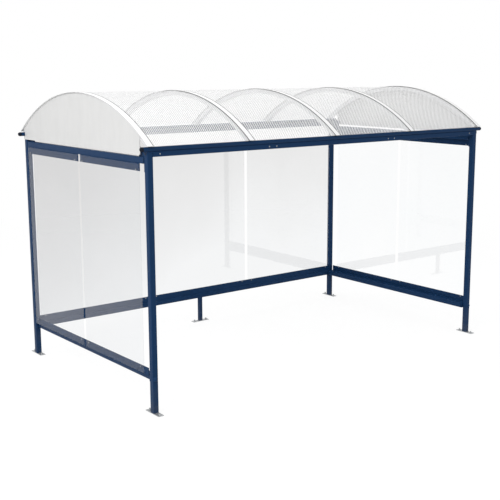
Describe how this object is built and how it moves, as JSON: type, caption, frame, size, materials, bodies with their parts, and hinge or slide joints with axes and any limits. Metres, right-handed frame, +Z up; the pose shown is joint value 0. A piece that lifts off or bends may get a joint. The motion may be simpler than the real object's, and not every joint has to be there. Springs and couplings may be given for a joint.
{
  "type": "bike shelter",
  "caption": "Open-fronted bike shelter: bolted square-tube frame on base plates, clear end and rear panels, and a curved sheet roof held by cover strips over arched bars.",
  "frame": {"origin": "on the ground, in the middle of the shelter's length and depth", "axes": "+X along the shelter's length, +Y from the open front to the rear, +Z up"},
  "size_m": [4.031, 2.33, 2.546],
  "materials": {
    "galvanised_steel": "dull galvanised plate",
    "blue_powder_coat": "satin dark blue powder coat over steel tube",
    "black_caps": "moulded black plastic",
    "arch_metal": "plain satin aluminium section",
    "cover_strip": "pale satin aluminium strip with dark gaskets along its edges",
    "roof_sheet": "white translucent sheet with a fine dotted grid",
    "gable_sheet": "plain white sheet",
    "clear_panel": "clear glazing sheet with polished edges"
  },
  "bodies": {
    "root": {"base_plate_front_left": "galvanised_steel", "base_plate_front_right": "galvanised_steel", "base_plate_rear_left": "galvanised_steel", "base_plate_rear_right": "galvanised_steel", "base_plate_rear_middle": "galvanised_steel", "post_front_left": "blue_powder_coat", "post_front_right": "blue_powder_coat", "post_rear_left": "blue_powder_coat", "post_rear_right": "blue_powder_coat", "leg_rear_middle": "blue_powder_coat", "bottom_rail_left": "blue_powder_coat", "bottom_rail_right": "blue_powder_coat", "bottom_rail_rear": "blue_powder_coat", "top_rail_left": "blue_powder_coat", "top_rail_right": "blue_powder_coat", "front_beam": "blue_powder_coat", "rear_beam": "blue_powder_coat", "eave_tube_front": "blue_powder_coat", "eave_tube_rear": "blue_powder_coat", "eave_caps_front": "black_caps", "eave_caps_rear": "black_caps", "corner_brackets": "blue_powder_coat", "post_caps": "blue_powder_coat", "arch_1": "arch_metal", "arch_2": "arch_metal", "arch_3": "arch_metal", "arch_4": "arch_metal", "arch_5": "arch_metal", "cover_strip_1": "cover_strip", "cover_strip_2": "cover_strip", "cover_strip_3": "cover_strip", "cover_strip_4": "cover_strip", "cover_strip_5": "cover_strip", "roof_sheet_1": "roof_sheet", "roof_sheet_2": "roof_sheet", "roof_sheet_3": "roof_sheet", "roof_sheet_4": "roof_sheet", "gable_left": "gable_sheet", "gable_right": "gable_sheet", "panel_left_front": "clear_panel", "panel_left_rear": "clear_panel", "panel_right_front": "clear_panel", "panel_right_rear": "clear_panel", "panel_rear_left": "clear_panel", "panel_rear_middle": "clear_panel", "panel_rear_right": "clear_panel"}
  },
  "joints": []
}
